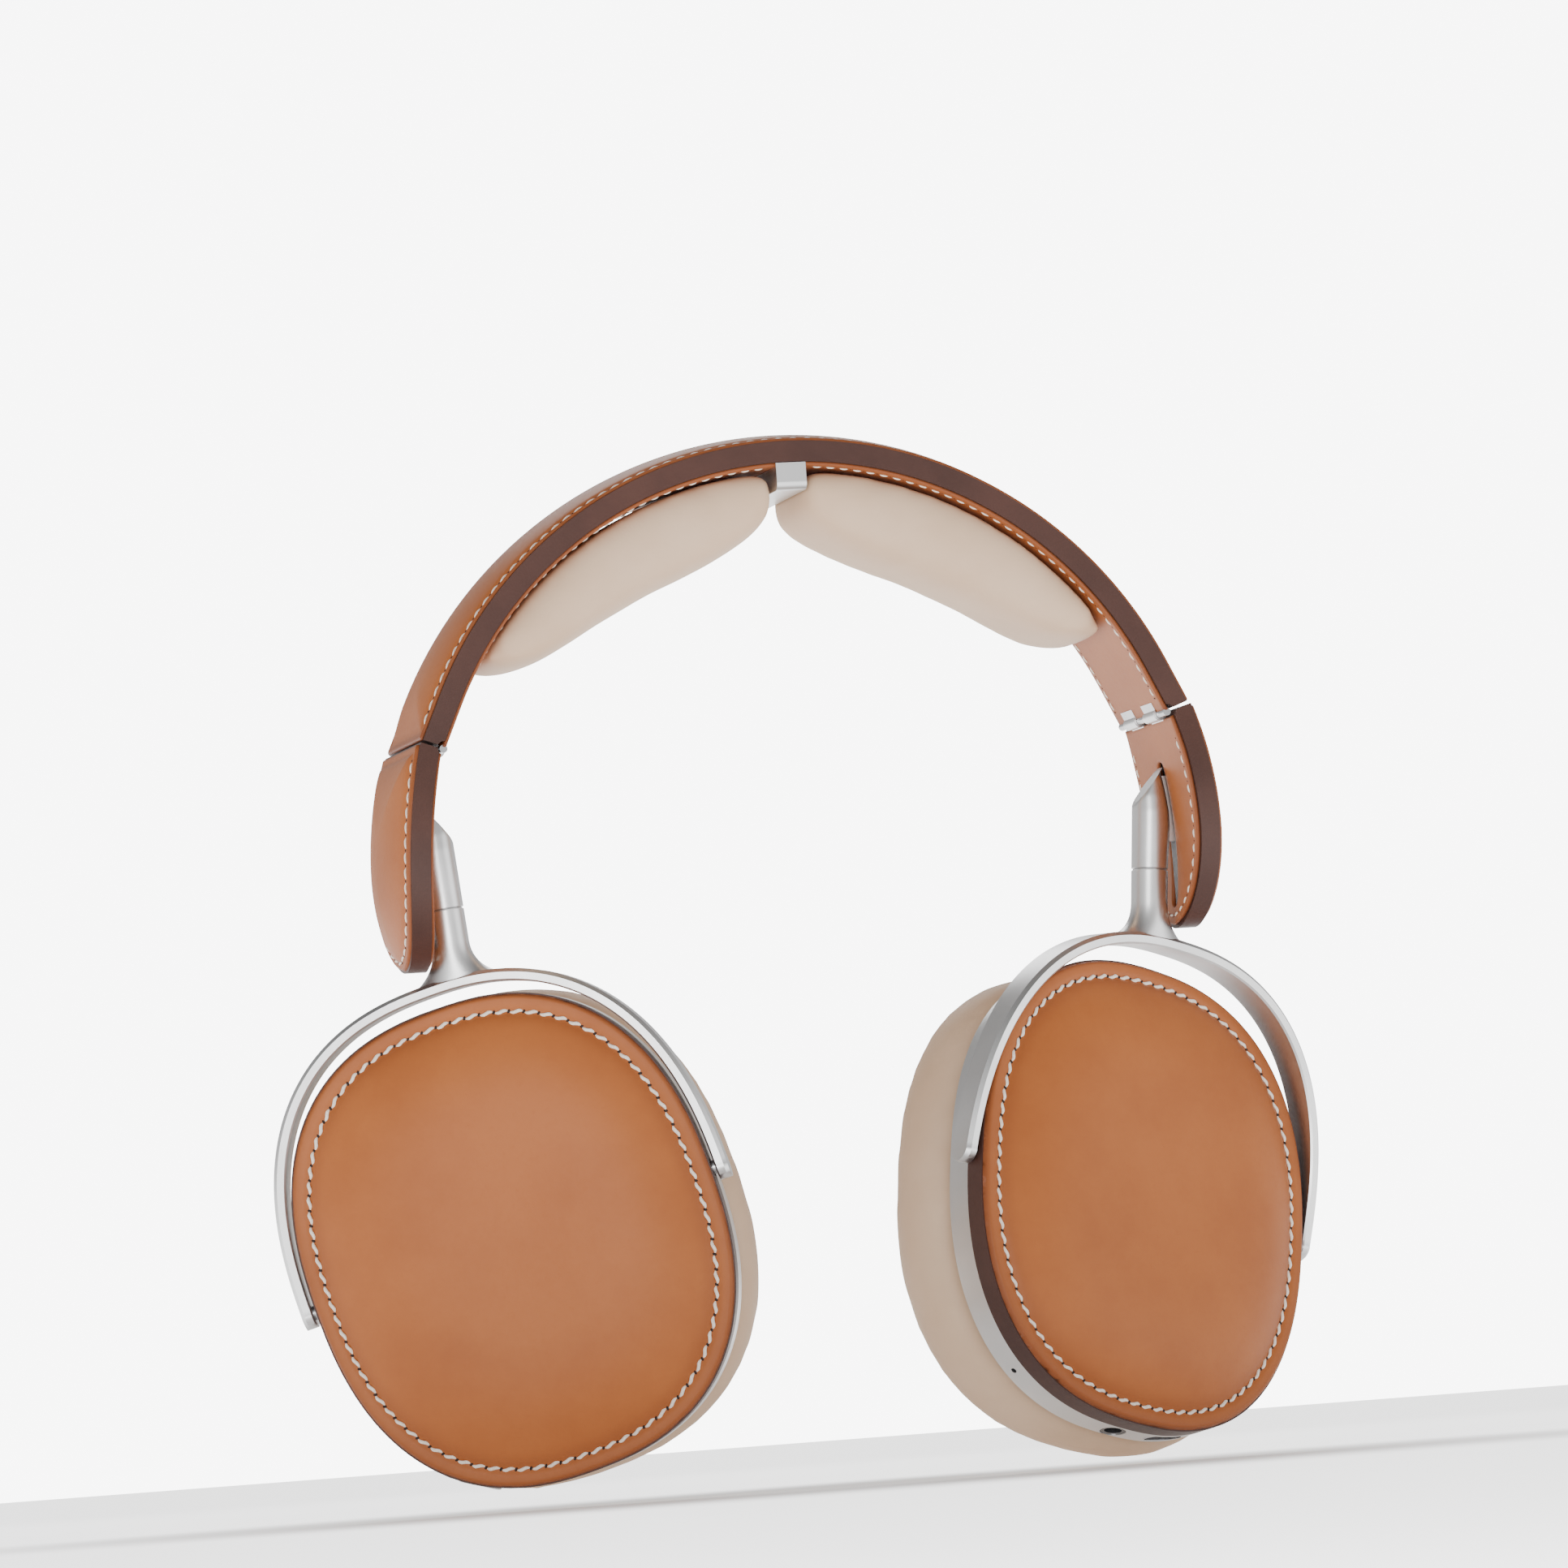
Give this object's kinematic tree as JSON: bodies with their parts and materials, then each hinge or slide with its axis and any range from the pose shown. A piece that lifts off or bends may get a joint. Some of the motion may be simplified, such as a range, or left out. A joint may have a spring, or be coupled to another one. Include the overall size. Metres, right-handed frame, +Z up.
{
  "type": "over ear headphones",
  "caption": "Folding over ear headphones with a leather headband, padded ear cushions, metal swivelling yokes and sliding size adjustment.",
  "frame": {"origin": "middle of the clip's underside at the top of the arch, where the crown of the head carries the band", "axes": "+X to the wearer's left, +Y to the back of the head, +Z up; the headband's arch lies in the XZ plane"},
  "size_m": [0.2206, 0.0674, 0.2124],
  "materials": {
    "dark_leather": "painted leather edge",
    "tan_leather": "smooth tan leather with stitching",
    "cream_leather": "soft pale leather",
    "mesh_cloth": "fine woven mesh",
    "black_plastic": "matt moulded",
    "board": "solder-masked board",
    "battery_wrap": "foil pouch",
    "membrane": "thin film",
    "steel": "plain steel",
    "jack_plastic": "moulded barrel",
    "satin_aluminium": "bead-blasted satin"
  },
  "bodies": {
    "headband": {"headband_core": "dark_leather", "headband_cover": "tan_leather", "headband_lining": "tan_leather", "headband_spring": "steel", "centre_clip": "satin_aluminium", "left_crown_pad": "cream_leather", "left_hinge_upper_leaf": "satin_aluminium", "left_hinge_pin": "steel", "right_crown_pad": "cream_leather", "right_hinge_upper_leaf": "satin_aluminium", "right_hinge_pin": "steel"},
    "left_tab": {"left_tab_core": "dark_leather", "left_tab_cover": "tan_leather", "left_tab_lining": "tan_leather", "left_hinge_lower_leaf": "satin_aluminium", "left_slide_rail": "satin_aluminium"},
    "left_slider": {"left_stem_socket": "satin_aluminium"},
    "left_fork": {"left_yoke": "satin_aluminium", "left_swivel_pin": "steel", "left_pivot_pins": "steel"},
    "left_cup": {"left_cup_cover": "tan_leather", "left_cup_backing": "dark_leather", "left_cup_rim": "satin_aluminium", "left_baffle": "black_plastic", "left_baffle_screws": "steel", "left_driver": "steel", "left_diaphragm": "membrane", "left_circuit_board": "board", "left_cushion_plate": "black_plastic", "left_ear_mesh": "mesh_cloth", "left_ear_cushion": "cream_leather", "jack_socket": "jack_plastic", "usb_port": "steel"},
    "noise_button": {"noise_button": "satin_aluminium"},
    "right_tab": {"right_tab_core": "dark_leather", "right_tab_cover": "tan_leather", "right_tab_lining": "tan_leather", "right_hinge_lower_leaf": "satin_aluminium", "right_slide_rail": "satin_aluminium"},
    "right_slider": {"right_stem_socket": "satin_aluminium"},
    "right_fork": {"right_yoke": "satin_aluminium", "right_swivel_pin": "steel", "right_pivot_pins": "steel"},
    "right_cup": {"right_cup_cover": "tan_leather", "right_cup_backing": "dark_leather", "right_cup_rim": "satin_aluminium", "right_baffle": "black_plastic", "right_baffle_screws": "steel", "right_driver": "steel", "right_diaphragm": "membrane", "right_circuit_board": "board", "right_cushion_plate": "black_plastic", "right_ear_mesh": "mesh_cloth", "right_ear_cushion": "cream_leather", "battery": "battery_wrap"},
    "volume_down": {"volume_down": "satin_aluminium"},
    "play_button": {"play_button": "satin_aluminium"},
    "volume_up": {"volume_up": "satin_aluminium"}
  },
  "joints": [
    {"name": "left_fold", "type": "hinge", "parent": "headband", "child": "left_tab", "pos_m": [0.0754, 0, -0.0486], "axis": [0, 1, 0], "range_deg": [0, 14]},
    {"name": "left_size_slide", "type": "slide", "parent": "left_tab", "child": "left_slider", "axis": [0, 0, -1], "range_m": [0, 0.012]},
    {"name": "left_swivel", "type": "hinge", "parent": "left_slider", "child": "left_fork", "pos_m": [0.07396, 0, -0.0795], "axis": [0.0918, 0, 0.9958], "range_deg": [-21, 69]},
    {"name": "left_tilt", "type": "hinge", "parent": "left_fork", "child": "left_cup", "pos_m": [0.06481, -0.00115, -0.14614], "axis": [-0.8971, -0.3523, 0.2668], "range_deg": [-19.1, 2.9]},
    {"name": "noise_button_press", "type": "slide", "parent": "left_cup", "child": "noise_button", "axis": [-0.5398, -0.0975, 0.8361], "range_m": [0, 0.0005], "stiffness_N_per_m": 400},
    {"name": "right_fold", "type": "hinge", "parent": "headband", "child": "right_tab", "pos_m": [-0.0754, 0, -0.0486], "axis": [0, -1, 0], "range_deg": [0, 14]},
    {"name": "right_size_slide", "type": "slide", "parent": "right_tab", "child": "right_slider", "axis": [0, 0, -1], "range_m": [0, 0.012]},
    {"name": "right_swivel", "type": "hinge", "parent": "right_slider", "child": "right_fork", "pos_m": [-0.07396, 0, -0.0795], "axis": [0.0918, 0, -0.9958], "range_deg": [-21, 69]},
    {"name": "right_tilt", "type": "hinge", "parent": "right_fork", "child": "right_cup", "pos_m": [-0.06481, -0.00115, -0.14614], "axis": [-0.8971, 0.3523, -0.2668], "range_deg": [-8, 14]},
    {"name": "volume_down_press", "type": "slide", "parent": "right_cup", "child": "volume_down", "axis": [0.2425, -0.1266, 0.9619], "range_m": [0, 0.0005], "stiffness_N_per_m": 400},
    {"name": "play_button_press", "type": "slide", "parent": "right_cup", "child": "play_button", "axis": [0.4905, -0.2172, 0.8439], "range_m": [0, 0.0005], "stiffness_N_per_m": 400},
    {"name": "volume_up_press", "type": "slide", "parent": "right_cup", "child": "volume_up", "axis": [0.6849, -0.2854, 0.6704], "range_m": [0, 0.0005], "stiffness_N_per_m": 400}
  ]
}
